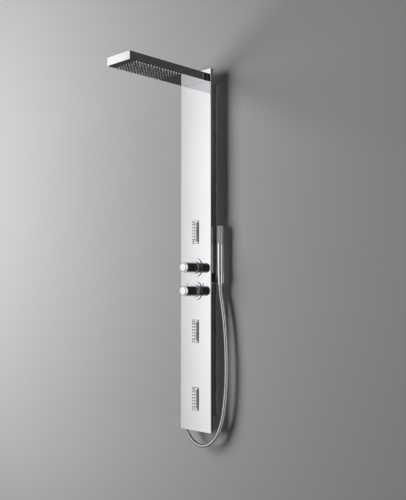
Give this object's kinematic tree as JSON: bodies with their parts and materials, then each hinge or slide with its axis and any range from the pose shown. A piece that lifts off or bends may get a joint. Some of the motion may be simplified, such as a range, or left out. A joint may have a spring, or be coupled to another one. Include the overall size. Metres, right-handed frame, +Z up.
{
  "type": "shower column",
  "caption": "Wall-hung polished shower column with a fixed rain head, tilting body jets, mixer knobs and a lift-out stick handset on a metal hose.",
  "frame": {"origin": "middle of the upper wall bracket's flat face, on the wall plane", "axes": "+Z up, +Y into the wall, +X to the right as seen from the room"},
  "size_m": [0.2484, 0.47, 1.567],
  "materials": {
    "mirror_steel": "mirror polished stainless sheet",
    "satin_steel": "mill finished stainless sheet",
    "zinc_steel": "bright zinc plate",
    "brass": "cast and turned brass",
    "chrome": "polished chrome plate",
    "satin_chrome": "satin chrome plate",
    "jet_face": "chrome-plated moulding",
    "nozzle_silicone": "soft translucent grey silicone",
    "spray_face": "soft grey silicone",
    "grey_plastic": "moulded",
    "hose_metal": "interlocked stainless strip, polished"
  },
  "bodies": {
    "column": {"chassis_bottom_plate": "satin_steel", "chassis_top_plate": "satin_steel", "cross_member_lower": "satin_steel", "cross_member_upper": "satin_steel", "front_panel": "mirror_steel", "handset_holder": "chrome", "handset_pipe": "brass", "head_bolt_left": "zinc_steel", "head_bolt_right": "zinc_steel", "head_face_plate": "mirror_steel", "head_inlet_tube": "brass", "head_nozzle_mat": "nozzle_silicone", "head_root": "zinc_steel", "head_shell": "mirror_steel", "head_water_chamber": "grey_plastic", "holder_screw": "zinc_steel", "hose_outlet_nut": "chrome", "inlet_union_cold": "brass", "inlet_union_hot": "brass", "jet_frame_1": "mirror_steel", "jet_frame_2": "mirror_steel", "jet_frame_3": "mirror_steel", "jet_housing_1": "grey_plastic", "jet_housing_2": "grey_plastic", "jet_housing_3": "grey_plastic", "jet_pipe_lower": "brass", "jet_pipe_upper": "brass", "mixer_body": "brass", "panel_screw_left_1": "zinc_steel", "panel_screw_left_2": "zinc_steel", "panel_screw_right_1": "zinc_steel", "panel_screw_right_2": "zinc_steel", "rail_left": "satin_steel", "rail_right": "satin_steel", "riser_pipe": "brass", "selector_cartridge": "grey_plastic", "selector_collar": "chrome", "selector_lock_nut": "brass", "selector_wall_ring": "mirror_steel", "shower_hose": "hose_metal", "temperature_cartridge": "grey_plastic", "temperature_collar": "chrome", "temperature_lock_nut": "brass", "temperature_wall_ring": "mirror_steel", "wall_bracket_lower": "zinc_steel", "wall_bracket_upper": "zinc_steel"},
    "selector_knob": {"selector_knob": "chrome", "selector_knob_cap": "chrome", "selector_spindle": "brass"},
    "temperature_knob": {"temperature_knob": "chrome", "temperature_knob_cap": "chrome", "temperature_spindle": "brass"},
    "override_button": {"override_button": "chrome"},
    "jet_block_1": {"jet_nozzle_block_1": "jet_face"},
    "jet_block_2": {"jet_nozzle_block_2": "jet_face"},
    "jet_block_3": {"jet_nozzle_block_3": "jet_face"},
    "hose_cone": {"hose_cone_nut": "chrome"},
    "handset": {"handset_handle": "chrome", "handset_spray_end": "satin_chrome", "handset_spray_face": "spray_face"}
  },
  "joints": [
    {"name": "selector_turn", "type": "hinge", "parent": "column", "child": "selector_knob", "pos_m": [0, -0.06, -0.676], "axis": [0, -1, 0], "range_deg": [-120, 120]},
    {"name": "temperature_turn", "type": "hinge", "parent": "column", "child": "temperature_knob", "pos_m": [0, -0.06, -0.773], "axis": [0, -1, 0], "range_deg": [-150, 60]},
    {"name": "override_press", "type": "slide", "parent": "temperature_knob", "child": "override_button", "axis": [0, 0, -1], "range_m": [0, 0.003], "stiffness_N_per_m": 400, "springref_m": -0.001},
    {"name": "jet_tilt_1", "type": "hinge", "parent": "column", "child": "jet_block_1", "pos_m": [0, -0.044, -0.528], "axis": [1, 0, 0], "range_deg": [-10, 10]},
    {"name": "jet_tilt_2", "type": "hinge", "parent": "column", "child": "jet_block_2", "pos_m": [0, -0.044, -0.941], "axis": [1, 0, 0], "range_deg": [-10, 10]},
    {"name": "jet_tilt_3", "type": "hinge", "parent": "column", "child": "jet_block_3", "pos_m": [0, -0.044, -1.22], "axis": [1, 0, 0], "range_deg": [-10, 10]},
    {"name": "handset_lift", "type": "slide", "parent": "column", "child": "hose_cone", "axis": [0, 0, 1], "range_m": [0, 0.06]},
    {"name": "handset_turn", "type": "hinge", "parent": "hose_cone", "child": "handset", "pos_m": [0.118, -0.025, -0.695], "axis": [0, 0, 1], "continuous": true}
  ]
}
